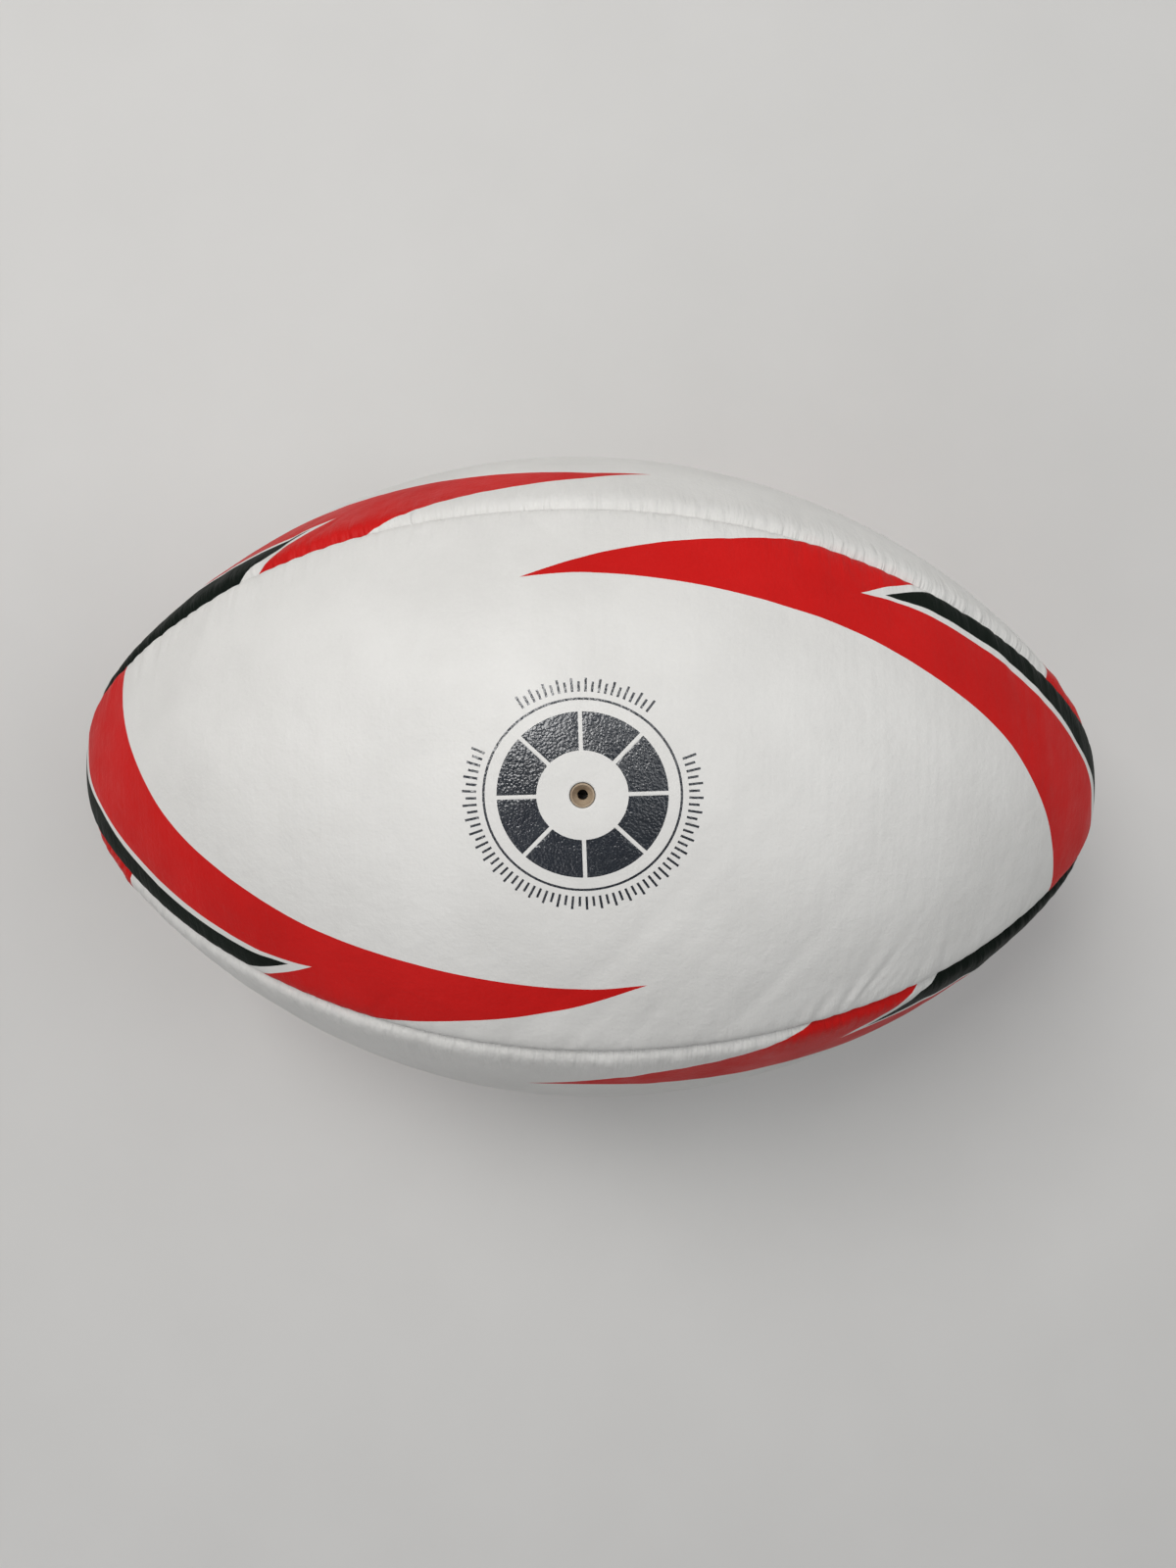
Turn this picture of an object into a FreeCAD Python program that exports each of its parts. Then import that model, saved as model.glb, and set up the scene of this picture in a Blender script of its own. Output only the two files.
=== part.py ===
"""A size 5 rugby ball: four sewn panels of skin over two laminated fabric plies, a latex bladder with its needle
valve and self-sealing core, a patch behind the valve, one waxed thread for each seam and a knot at each point.

Frame: millimetres, origin at the ball's centre, +X along the ball to its right-hand point, +Z out of the valve.

A panel's outer face is one profile in the XZ plane turned about a line that lies gore_offset below the ball's
axis. Four such faces side by side give a section that is nearly round at the middle and squarish at the points,
as on a ball sewn from four flat-cut gores. The plies, the folded seam edges and the bladder are the same profile
set deeper. Each layer is drawn once, on the panel that the valve comes out of, and turned to the other three.
"""

import FreeCAD
import Part
import Sketcher
import math
import os

Vector = FreeCAD.Vector
Rotation = FreeCAD.Rotation
Placement = FreeCAD.Placement
ORIGIN = Vector(0, 0, 0)
X_AXIS = Vector(1, 0, 0)
Y_AXIS = Vector(0, 1, 0)
Z_AXIS = Vector(0, 0, 1)
OUT_FOLDER = "parts"

# The driving dimensions: alias, value, what it is. Lengths are in mm and angles in degrees.
DIMENSIONS = [
    ("half_length", 150.0, "centre of the ball to each point"),
    ("half_width", 93.0, "centre of the ball to the middle of a panel"),
    ("tip_radius", 56.0, "profile radius towards the points"),
    ("tip_drop", 6.0, "how far below the ball's axis the tip arcs have their centres"),
    ("gore_offset", 8.0, "how far below the ball's axis a panel's own turning axis lies"),
    ("cover_turn", 1.7, "how far the sewn cover sits round from the valve's meridian"),
    ("skin_thickness", 1.1, "synthetic leather face of a panel"),
    ("ply_thickness", 0.5, "one laminated polyester-cotton ply"),
    ("seam_allowance", 7.0, "depth of the panel edges that are folded in and sewn"),
    ("edge_round", 0.8, "radius where a panel turns down into its seam"),
    ("point_hole_radius", 1.6, "hole left where the four panel points meet"),
    ("bladder_wall", 0.6, "latex of the bladder"),
    ("seam_room", 3.2, "half width of the groove that the bladder leaves for a sewn seam"),
    ("pad_radius", 24.0, "thicker part of the bladder under the valve"),
    ("pad_thickness", 1.8, "thickness of that part, past the patch"),
    ("patch_radius", 22.0, "fabric patch behind the valve panel"),
    ("patch_thickness", 0.5, "the same patch"),
    ("stitch_pitch", 5.5, "spacing of the stitches along the seam"),
    ("stitch_depth", 4.2, "depth of the row of stitches below the cover's face"),
    ("stitch_reach", 137.0, "the row of stitches ends this far from the middle"),
    ("thread_radius", 0.4, "waxed polyester thread"),
    ("thread_bend", 0.45, "bend radius of the thread where it enters a hole"),
    ("thread_gap", 0.05, "between the thread and the panels"),
    ("knot_radius", 1.5, "knot in each point of the ball"),
    ("knot_length", 4.4, "the same knot, along the ball"),
    ("knot_round", 0.8, "rounding of the knot's two rims"),
    ("knot_inset", 1.0, "outer end of the knot below the point"),
    ("valve_hole_radius", 2.85, "hole punched in the valve panel"),
    ("nose_radius", 2.7, "valve housing where it comes up through the panel"),
    ("nose_inset", 0.35, "top of the nose below the cover's face"),
    ("funnel_radius", 2.35, "mouth of the needle funnel"),
    ("funnel_depth", 1.9, "depth of the needle funnel"),
    ("needle_radius", 1.2, "needle guide bore"),
    ("needle_length", 4.0, "length of the needle guide bore"),
    ("flange_radius", 15.0, "valve flange bonded to the bladder"),
    ("flange_thickness", 1.2, "the same flange"),
    ("tube_radius", 5.0, "valve housing inside the bladder"),
    ("tube_top", 3.2, "top of that part below the cover's face"),
    ("core_radius", 3.1, "self-sealing core"),
    ("core_length", 9.0, "the same core"),
    ("lip_radius", 2.2, "opening in the lip that holds the core in"),
    ("lip_length", 1.3, "thickness of that lip"),
    ("slit_width", 2.4, "slit that the needle opens in the core"),
    ("slit_gap", 0.2, "the same slit, across"),
]

PANELS = ("top", "front", "base", "rear")  # in quarter turns about +X, from +Z round to -Y, -Z and +Y
QUARTER = 90
STRIDE = 0.02  # step in which the seam is walked to space the stitches


def sheet_values(doc):
    """Write the driving dimensions to the spreadsheet and return them by name."""
    sheet = doc.addObject("Spreadsheet::Sheet", "Sheet")
    for row, (alias, value, note) in enumerate(DIMENSIONS, start=1):
        sheet.set(f"A{row}", alias)
        sheet.set(f"B{row}", str(value))
        sheet.set(f"C{row}", note)
        sheet.setAlias(f"B{row}", alias)
    doc.recompute()
    return {alias: value for alias, value, note in DIMENSIONS}


class Sum:
    """A sum of driving dimensions, as a number and as an expression. A leading minus sign takes one away."""

    def __init__(self, size, *names):
        self.value = 0.0
        self.expression = "0"
        for name in names:
            word = name.lstrip("-")
            sign = -1 if name.startswith("-") else 1
            self.value += sign * size[word]
            self.expression += f" {'-' if sign < 0 else '+'} Sheet.{word}"


# --- the profile ------------------------------------------------------------------------------------------------


def tip_centre(size):
    """Centre of the right-hand tip arc, as (x, z)."""
    reach = math.sqrt(size["tip_radius"] ** 2 - size["tip_drop"] ** 2)
    return size["half_length"] - reach, -size["tip_drop"]


def crown_radius(size):
    """Radius of the long arc over the middle, which is tangent to both tip arcs."""
    centre_x, centre_z = tip_centre(size)
    rise = size["half_width"] - centre_z
    return (centre_x**2 + rise**2 - size["tip_radius"] ** 2) / (2 * (rise - size["tip_radius"]))


def profile_height(size, x, depth):
    """Height of the profile above the ball's axis at x, that far below the cover's face."""
    centre_x, centre_z = tip_centre(size)
    crown = crown_radius(size)
    tangent_x = centre_x * (crown - depth) / (crown - size["tip_radius"])
    if abs(x) < tangent_x:
        return size["half_width"] - crown + math.sqrt((crown - depth) ** 2 - x**2)
    return centre_z + math.sqrt((size["tip_radius"] - depth) ** 2 - (abs(x) - centre_x) ** 2)


def seam_height(size, x, depth):
    """Distance from the ball's axis to the seam line at x, that far below the cover's face."""
    turn_radius = profile_height(size, x, depth) + size["gore_offset"]
    slant = size["gore_offset"] * math.sqrt(0.5)
    return math.sqrt(turn_radius**2 - slant**2) - slant


def stitch_places(size):
    """The stitches as (x, distance from the ball's axis), evenly spaced along the seam, left to right."""
    pitch = size["stitch_pitch"]
    depth = size["stitch_depth"]
    x, walked, due, half = 0.0, 0.0, pitch / 2, []
    while x < size["stitch_reach"]:
        rise = seam_height(size, x + STRIDE, depth) - seam_height(size, x, depth)
        walked += math.hypot(STRIDE, rise)
        x += STRIDE
        if walked >= due:
            half.append((x, seam_height(size, x, depth)))
            due += pitch
    return [(-x, height) for x, height in reversed(half)] + half


# --- drawing helpers --------------------------------------------------------------------------------------------


def own_plane(body, role):
    """One of a body's own origin planes."""
    return next(feature for feature in body.Origin.OriginFeatures if feature.Role == role)


def new_sketch(body, name, plane):
    """An empty sketch on one of a body's origin planes."""
    sketch = body.newObject("Sketcher::SketchObject", name)
    sketch.AttachmentSupport = [(own_plane(body, plane), "")]
    sketch.MapMode = "FlatFace"
    return sketch


def bind(sketch, constraint, expression):
    """Add a size constraint to a sketch and drive it from the spreadsheet."""
    index = sketch.addConstraint(constraint)
    sketch.setExpression(f"Constraints[{index}]", expression)


def closed_outline(sketch, points):
    """A closed run of lines through the points, joined corner to corner."""
    lines = [
        sketch.addGeometry(Part.LineSegment(point, following))
        for point, following in zip(points, points[1:] + points[:1])
    ]
    for line, following in zip(lines, lines[1:] + lines[:1]):
        sketch.addConstraint(Sketcher.Constraint("Coincident", line, 2, following, 1))
    return lines


def place_about_x(item, angle):
    """Turn an object about the ball's long axis by an expression in degrees."""
    item.Placement = Placement(ORIGIN, Rotation(X_AXIS, 1))
    item.setExpression("Placement.Rotation.Angle", angle)


def combine(doc, kind, name, shapes):
    """A boolean of several shapes: MultiFuse or MultiCommon."""
    result = doc.addObject("Part::" + kind, name)
    result.Shapes = shapes
    return result


def cut(doc, name, base, tool):
    """One shape less another."""
    result = doc.addObject("Part::Cut", name)
    result.Base = base
    result.Tool = tool
    return result


def cylinder(doc, name, radius, length, placement):
    """A cylinder whose radius and length are expressions."""
    result = doc.addObject("Part::Cylinder", name)
    result.Placement = placement
    result.setExpression("Radius", radius)
    result.setExpression("Height", length)
    return result


def turned_copy(doc, name, source, turns):
    """A linked copy of a finished shape, that many quarter turns round the ball."""
    result = doc.addObject("Part::Compound", name)
    result.Links = [source]
    result.Placement = Placement(ORIGIN, Rotation(X_AXIS, turns * QUARTER))
    return result


# --- gores ------------------------------------------------------------------------------------------------------


def sketch_profile(body, size, depth):
    """The section of one panel's solid at a depth: three tangent arcs closed by the panel's turning axis."""
    sketch = new_sketch(body, body.Name + "_profile", "XZ_Plane")
    centre_x, centre_z = tip_centre(size)
    crown = crown_radius(size)
    crown_z = size["half_width"] - crown
    tip = size["tip_radius"] - depth.value
    base_z = -size["gore_offset"]
    join = math.atan2(centre_z - crown_z, centre_x)
    dip = math.asin((base_z - centre_z) / tip)
    end_x = centre_x + tip * math.cos(dip)

    def arc(x, z, radius, start_angle, end_angle):
        circle = Part.Circle(Vector(x, z, 0), Z_AXIS, radius)
        return sketch.addGeometry(Part.ArcOfCircle(circle, start_angle, end_angle))

    right = arc(centre_x, centre_z, tip, dip, join)
    middle = arc(0, crown_z, crown - depth.value, join, math.pi - join)
    left = arc(-centre_x, centre_z, tip, math.pi - join, math.pi - dip)
    base = sketch.addGeometry(Part.LineSegment(Vector(-end_x, base_z, 0), Vector(end_x, base_z, 0)))
    crown_point = sketch.addGeometry(Part.Point(Vector(0, size["half_width"] - depth.value, 0)))
    sketch.setConstruction(crown_point, True)

    rule = Sketcher.Constraint
    start, end, centre = 1, 2, 3
    root = (-1, 1)
    vertical = -2
    sketch.addConstraint(
        [
            rule("Tangent", right, end, middle, start),
            rule("Tangent", middle, end, left, start),
            rule("Coincident", left, end, base, start),
            rule("Coincident", base, end, right, start),
            rule("Horizontal", base),
            rule("Symmetric", left, centre, right, centre, vertical),
            rule("Equal", left, right),
            rule("PointOnObject", crown_point, start, vertical),
            rule("PointOnObject", crown_point, start, middle),
        ]
    )
    reach = "sqrt(Sheet.tip_radius ^ 2 - Sheet.tip_drop ^ 2)"
    bind(sketch, rule("Radius", right, tip), f"Sheet.tip_radius - ({depth.expression})")
    bind(sketch, rule("DistanceX", *root, right, centre, centre_x), f"Sheet.half_length - {reach}")
    bind(sketch, rule("DistanceY", right, centre, *root, -centre_z), "Sheet.tip_drop")
    crown_height = rule("DistanceY", *root, crown_point, start, size["half_width"] - depth.value)
    bind(sketch, crown_height, f"Sheet.half_width - ({depth.expression})")
    bind(sketch, rule("DistanceY", base, start, *root, -base_z), "Sheet.gore_offset")
    return sketch, base


def turned_gore(doc, size, name, depth):
    """The whole solid of revolution whose face lies that deep below the valve panel's face."""
    body = doc.addObject("PartDesign::Body", name)
    place_about_x(body, "-Sheet.cover_turn")
    sketch, base = sketch_profile(body, size, depth)
    turn = body.newObject("PartDesign::Revolution", name + "_turn")
    turn.Profile = sketch
    turn.ReferenceAxis = (sketch, [f"Edge{base + 1}"])
    turn.Angle = 360
    return body


def sketch_seams(body, size, depth):
    """All that lies outside one panel's two seam planes, which meet at a right angle below the panel."""
    sketch = new_sketch(body, body.Name + "_seams", "YZ_Plane")
    reach = size["half_length"]
    apex = math.sqrt(2) * depth.value
    corners = [(0, apex), (reach, apex + reach), (reach, -reach), (-reach, -reach), (-reach, apex + reach)]
    lines = closed_outline(sketch, [Vector(y, z, 0) for y, z in corners])
    right_seam, right_side, _, left_side, _ = lines
    rule = Sketcher.Constraint
    start, end = 1, 2
    root = (-1, 1)
    vertical = -2
    sketch.addConstraint(
        [
            rule("Vertical", right_side),
            rule("Symmetric", right_side, start, left_side, end, vertical),
            rule("Symmetric", right_side, end, left_side, start, vertical),
            rule("PointOnObject", right_seam, start, vertical),
            rule("Angle", right_seam, math.radians(QUARTER / 2)),
        ]
    )
    bind(sketch, rule("DistanceY", *root, right_seam, start, apex), f"sqrt(2) * ({depth.expression})")
    bind(sketch, rule("DistanceX", *root, right_side, end, reach), "Sheet.half_length")
    bind(sketch, rule("DistanceY", right_side, end, *root, reach), "Sheet.half_length")
    return sketch


def wedge_gore(doc, size, name, depth):
    """The quarter of that solid between the two seams, set in from both seams by the same depth."""
    body = turned_gore(doc, size, name, depth)
    quarter = body.newObject("PartDesign::Pocket", name + "_quarter")
    quarter.Profile = sketch_seams(body, size, depth)
    quarter.SideType = "Symmetric"
    quarter.Type = "ThroughAll"
    return body


def open_points(body):
    """Trim both points of a panel's solid to leave the hole where the four points meet."""
    sketch = new_sketch(body, body.Name + "_point", "YZ_Plane")
    circle = sketch.addGeometry(Part.Circle(ORIGIN, Z_AXIS, 1))
    sketch.addConstraint(Sketcher.Constraint("Coincident", circle, 3, -1, 1))
    bind(sketch, Sketcher.Constraint("Radius", circle, 1), "Sheet.point_hole_radius")
    hole = body.newObject("PartDesign::Pocket", body.Name + "_points")
    hole.Profile = sketch
    hole.SideType = "Symmetric"
    hole.Type = "ThroughAll"
    return hole


def round_seam_edges(doc, size, body, hole):
    """Round the long edges where the panel's face turns down into its two seams."""
    doc.recompute()
    slope = math.radians(QUARTER / 2)
    edges = []
    for index, edge in enumerate(hole.Shape.Edges, start=1):
        middle = edge.valueAt((edge.FirstParameter + edge.LastParameter) / 2)
        height = seam_height(size, middle.x, 0) if abs(middle.x) < size["half_length"] else 0
        on_seam = abs(abs(middle.y) - height * math.sin(slope)) < size["skin_thickness"]
        on_face = abs(middle.z - height * math.cos(slope)) < size["skin_thickness"]
        if on_seam and on_face and edge.Length > size["seam_allowance"]:
            edges.append(f"Edge{index}")
    fillet = body.newObject("PartDesign::Fillet", body.Name + "_round")
    fillet.Base = (hole, edges)
    fillet.setExpression("Radius", "Sheet.edge_round")
    return fillet


# --- the cover --------------------------------------------------------------------------------------------------


def stitch_holes(doc, size):
    """Holes for the thread through both folded edges of the valve panel, as one set of cylinders."""
    radius = size["thread_radius"] + size["thread_gap"]
    reach = 2 * (size["skin_thickness"] + 2 * size["ply_thickness"])
    pins = []
    for seam in (-1, 1):
        turn = Rotation(X_AXIS, seam * QUARTER / 2)
        across = turn.multVec(Y_AXIS)
        for x, height in stitch_places(size):
            start = turn.multVec(Vector(x, 0, height)) - across * reach
            pins.append(Part.makeCylinder(radius, 2 * reach, start, across))
    holes = doc.addObject("Part::Feature", "StitchHoles")
    holes.Shape = Part.makeCompound(pins)
    place_about_x(holes, "-Sheet.cover_turn")
    return holes


def panel_layer(doc, name, outer, inner, core, trims):
    """One layer of the valve panel: its face and folded edges, less the stitch holes and the like."""
    shell = cut(doc, name + "_shell", outer, inner)
    hollow = cut(doc, name + "_folded", shell, core)
    for index, trim in enumerate(trims):
        hollow = cut(doc, f"{name}_trim{index}", hollow, trim)
    return hollow


def valve_shaft(doc, name, radius):
    """A cylinder along the valve's axis from the ball's centre out through the panel."""
    return cylinder(doc, name, radius, "Sheet.half_length", Placement())


def make_cover(doc, size, core):
    """The four panels, each a skin and two plies, by node name."""
    skin = ("skin_thickness",)
    first_ply = skin + ("ply_thickness",)
    both_plies = first_ply + ("ply_thickness",)
    outer_face = wedge_gore(doc, size, "SkinFace", Sum(size))
    round_seam_edges(doc, size, outer_face, open_points(outer_face))
    ply_faces = []
    for name, sum_of in (("SkinBack", skin), ("OuterPlyBack", first_ply), ("InnerPlyBack", both_plies)):
        face = wedge_gore(doc, size, name, Sum(size, *sum_of))
        if sum_of != both_plies:
            open_points(face)
        ply_faces.append(face)

    holes = stitch_holes(doc, size)
    shaft = valve_shaft(doc, "ValveHole", "Sheet.valve_hole_radius")
    layers = {}
    bounds = [outer_face] + ply_faces
    for layer, outer, inner in zip(("skin", "outer_ply", "inner_ply"), bounds, bounds[1:]):
        plain = panel_layer(doc, layer, outer, inner, core, [holes])
        layers[f"{PANELS[0]}_panel_{layer}"] = cut(doc, layer + "_valve", plain, shaft)
        for turns, panel in enumerate(PANELS[1:], start=1):
            layers[f"{panel}_panel_{layer}"] = turned_copy(doc, f"{panel}_{layer}", plain, turns)
    return layers


def thread_path(size):
    """A running stitch on the seam in the XZ plane: from side to side of the folded edges at every hole."""
    side = size["skin_thickness"] + 2 * size["ply_thickness"] + size["thread_radius"] + size["thread_gap"]
    corners = []
    for x, height in stitch_places(size):
        corners += [Vector(x, side, height), Vector(x, -side, height)]
        side = -side
    bend = size["thread_bend"]
    edges = []
    start = corners[0]
    for before, corner, after in zip(corners, corners[1:], corners[2:]):
        back = (before - corner).normalize()
        ahead = (after - corner).normalize()
        half_turn = (math.pi - back.getAngle(ahead)) / 2
        entry = corner + back * bend * math.tan(half_turn)
        leave = corner + ahead * bend * math.tan(half_turn)
        inward = (back + ahead).normalize()
        middle = corner + inward * bend * (1 / math.cos(half_turn) - 1)
        edges += [Part.LineSegment(start, entry).toShape(), Part.Arc(entry, middle, leave).toShape()]
        start = leave
    edges.append(Part.LineSegment(start, corners[-1]).toShape())
    return Part.Wire(edges)


def make_threads(doc, size):
    """The four seam threads, by node name."""
    path = thread_path(size)
    start = path.Edges[0].valueAt(path.Edges[0].FirstParameter)
    section = Part.Wire(Part.makeCircle(size["thread_radius"], start, path.Edges[0].tangentAt(0)))
    thread = doc.addObject("Part::Feature", "Thread")
    thread.Shape = path.makePipeShell([section], True, False)
    place_about_x(thread, f"{QUARTER / 2} - Sheet.cover_turn")
    threads = {}
    for turns, panel in enumerate(PANELS):
        neighbour = PANELS[(turns + 1) % len(PANELS)]
        threads[f"{panel}_{neighbour}_seam_thread"] = turned_copy(doc, f"{panel}_thread", thread, turns)
    return threads


def make_knots(doc, size):
    """The two knots that close the points, by node name."""
    knots = {}
    for name, sign in (("left_point_knot", -1), ("right_point_knot", 1)):
        placement = Placement(ORIGIN, Rotation(Z_AXIS, Vector(sign, 0, 0)))
        cord = cylinder(doc, name + "_cord", "Sheet.knot_radius", "Sheet.knot_length", placement)
        cord.setExpression("Placement.Base.x", f"{sign} * (Sheet.half_length - Sheet.knot_inset - Sheet.knot_length)")
        doc.recompute()
        knot = doc.addObject("Part::Fillet", name + "_rounded")
        knot.Base = cord
        rims = [i for i, edge in enumerate(cord.Shape.Edges, start=1) if isinstance(edge.Curve, Part.Circle)]
        knot.Edges = [(index, size["knot_round"], size["knot_round"]) for index in rims]
        knots[name] = knot
    return knots


# --- the bladder and its valve ----------------------------------------------------------------------------------


def whole_ball(doc, name, gore):
    """The closed four-gore solid: what one gore's solid of revolution shares with its three turned copies."""
    turned = [turned_copy(doc, f"{name}_{panel}", gore, turns) for turns, panel in enumerate(PANELS)]
    return combine(doc, "MultiCommon", name, turned)


def seam_slabs(doc, name, half_width):
    """Two crossed slabs, one along each pair of opposite seams."""
    slabs = []
    for side, slope in (("rising", QUARTER / 2), ("falling", -QUARTER / 2)):
        slab = doc.addObject("Part::Box", f"{name}_{side}")
        slab.setExpression("Length", "2 * Sheet.half_length")
        slab.setExpression("Width", f"2 * ({half_width})")
        slab.setExpression("Height", "2 * Sheet.half_length")
        slab.setExpression("Placement.Base.x", "-Sheet.half_length")
        slab.setExpression("Placement.Base.y", f"-({half_width})")
        slab.setExpression("Placement.Base.z", "-Sheet.half_length")
        turned = doc.addObject("Part::Compound", f"{name}_{side}_turned")
        turned.Links = [slab]
        place_about_x(turned, f"{slope} - Sheet.cover_turn")
        slabs.append(turned)
    return combine(doc, "MultiFuse", name, slabs)


def grooved_ball(doc, name, face, floor, half_width):
    """The four-gore solid with a groove along each seam, down to a deeper four-gore floor."""
    ridges = cut(doc, name + "_grooves", seam_slabs(doc, name + "_slabs", half_width), floor)
    return cut(doc, name, face, ridges)


def valve_disc(doc, name, radius, outer, inner):
    """A disc round the valve's axis between two depths of the valve panel."""
    ring = cut(doc, name + "_layer", outer, inner)
    return combine(doc, "MultiCommon", name, [valve_shaft(doc, name + "_edge", radius), ring])


def turned_outline(doc, name, corners):
    """A solid turned about the valve's axis from its corners, each a radius and a height as sums or zero."""
    body = doc.addObject("PartDesign::Body", name)
    sketch = new_sketch(body, name + "_outline", "XZ_Plane")
    lines = closed_outline(sketch, [Vector(radius.value, height.value, 0) for radius, height in corners])
    rule = Sketcher.Constraint
    for line, (radius, height) in zip(lines, corners):
        if radius.value:
            bind(sketch, rule("DistanceX", -1, 1, line, 1, radius.value), radius.expression)
        else:
            sketch.addConstraint(rule("PointOnObject", line, 1, -2))
        bind(sketch, rule("DistanceY", -1, 1, line, 1, height.value), height.expression)
    turn = body.newObject("PartDesign::Revolution", name + "_turn")
    turn.Profile = sketch
    turn.ReferenceAxis = (sketch, ["V_Axis"])
    turn.Angle = 360
    return body


def make_valve(doc, size, flange):
    """The valve's housing, with its flange, and the self-sealing core inside it, by node name."""
    top = ("half_width", "-nose_inset")
    funnel_floor = top + ("-funnel_depth",)
    bore_floor = funnel_floor + ("-needle_length",)
    core_floor = bore_floor + ("-core_length",)
    tube_floor = core_floor + ("-lip_length",)
    axis = Sum(size)

    def corner(radius, height):
        return (Sum(size, radius) if radius else axis, Sum(size, *height))

    body = turned_outline(
        doc,
        "HousingOutside",
        [
            corner(None, tube_floor),
            corner("tube_radius", tube_floor),
            corner("tube_radius", ("half_width", "-tube_top")),
            corner("nose_radius", ("half_width", "-tube_top")),
            corner("nose_radius", top),
            corner(None, top),
        ],
    )
    passage = turned_outline(
        doc,
        "HousingPassage",
        [
            corner(None, tube_floor),
            corner("lip_radius", tube_floor),
            corner("lip_radius", core_floor),
            corner("core_radius", core_floor),
            corner("core_radius", bore_floor),
            corner("needle_radius", bore_floor),
            corner("needle_radius", funnel_floor),
            corner("funnel_radius", top),
            corner(None, top),
        ],
    )
    solid = combine(doc, "MultiFuse", "HousingSolid", [body, flange])
    housing = cut(doc, "Housing", solid, passage)

    plug = cylinder(doc, "CorePlug", "Sheet.core_radius", "Sheet.core_length", Placement())
    plug.setExpression("Placement.Base.z", Sum(size, *core_floor).expression)
    slit = doc.addObject("Part::Box", "CoreSlit")
    slit.setExpression("Length", "Sheet.slit_width")
    slit.setExpression("Width", "Sheet.slit_gap")
    slit.setExpression("Height", "Sheet.core_length")
    slit.setExpression("Placement.Base.x", "-Sheet.slit_width / 2")
    slit.setExpression("Placement.Base.y", "-Sheet.slit_gap / 2")
    slit.setExpression("Placement.Base.z", Sum(size, *core_floor).expression)
    return {"valve_housing": housing, "valve_core": cut(doc, "Core", plug, slit)}


def make_bladder(doc, size, fold_depth):
    """The bladder, its patch and its valve, by node name."""
    cover = ("skin_thickness", "ply_thickness", "ply_thickness")
    patch_depth = cover + ("patch_thickness",)
    cover_back = turned_gore(doc, size, "CoverBack", Sum(size, *cover))
    wall_back = turned_gore(doc, size, "WallBack", Sum(size, *cover, "bladder_wall"))
    fold_back = turned_gore(doc, size, "FoldBack", Sum(size, "seam_allowance", "bladder_wall"))
    patch_back = turned_gore(doc, size, "PatchBack", Sum(size, *patch_depth))
    flange_back = turned_gore(doc, size, "FlangeBack", Sum(size, *patch_depth, "flange_thickness"))
    pad_back = turned_gore(doc, size, "PadBack", Sum(size, *patch_depth, "pad_thickness"))

    outside = grooved_ball(
        doc,
        "BladderOutside",
        whole_ball(doc, "OutsideFace", cover_back),
        whole_ball(doc, "OutsideFloor", fold_depth),
        "Sheet.seam_room",
    )
    inside = grooved_ball(
        doc,
        "BladderInside",
        whole_ball(doc, "InsideFace", wall_back),
        whole_ball(doc, "InsideFloor", fold_back),
        "Sheet.seam_room + Sheet.bladder_wall",
    )
    wall = cut(doc, "BladderWall", outside, inside)
    pad = valve_disc(doc, "Pad", "Sheet.pad_radius", patch_back, pad_back)
    patch = valve_disc(doc, "Patch", "Sheet.patch_radius", cover_back, patch_back)
    flange = valve_disc(doc, "Flange", "Sheet.flange_radius", patch_back, flange_back)
    tube = valve_shaft(doc, "TubeHole", "Sheet.tube_radius")
    nose = valve_shaft(doc, "PatchHole", "Sheet.valve_hole_radius")

    bladder = combine(doc, "MultiFuse", "BladderPadded", [wall, pad])
    for name, seat in (("PatchSeat", patch), ("FlangeSeat", flange), ("TubeSeat", tube)):
        bladder = cut(doc, name, bladder, seat)
    pieces = {"bladder": bladder, "valve_patch": cut(doc, "PatchRing", patch, nose)}
    return pieces | make_valve(doc, size, flange)


# --- the whole ball ---------------------------------------------------------------------------------------------


def check_document(doc, pieces):
    """Stop on any failed object and on any piece that isn't one valid solid."""
    for item in doc.Objects:
        if "Invalid" in item.State or "Error" in item.State:
            raise RuntimeError(f"{item.Name}: {item.getStatusString()}")
    for node, item in pieces.items():
        shape = item.Shape
        if shape.isNull() or not shape.isValid() or len(shape.Solids) != 1:
            raise RuntimeError(f"{node} isn't one valid solid")


def main():
    """Build every piece, check it and write it to its own file."""
    doc = FreeCAD.newDocument("rugby_ball")
    size = sheet_values(doc)
    fold_depth = turned_gore(doc, size, "FoldDepth", Sum(size, "seam_allowance"))
    pieces = make_cover(doc, size, fold_depth)
    pieces |= make_threads(doc, size)
    pieces |= make_knots(doc, size)
    pieces |= make_bladder(doc, size, fold_depth)
    for node, item in pieces.items():
        item.Label = node
    doc.recompute()
    check_document(doc, pieces)

    os.makedirs(OUT_FOLDER, exist_ok=True)
    for node, item in pieces.items():
        item.Shape.exportStep(f"{OUT_FOLDER}/{node}.step")
        print(f"{node}: {item.Shape.Volume / 1000:.2f} cm3")


main()
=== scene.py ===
"""The looks of a size 5 rugby ball: four sewn panels with their printed sweeps, the ring printed round the
valve, and the materials of the ball's inner pieces.

A panel is worked out flat, in millimetres, as its maker cuts it: u runs along the panel from its middle
towards the ball's right-hand point, and v runs across it. The flat panel is cut up along the edges of its
print, then laid on the ball, rolled down into its seams and puckered by the stitches.
"""

import math
import random

import bpy
import numpy as np
from mathutils import Matrix, Vector, geometry, kdtree


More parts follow.
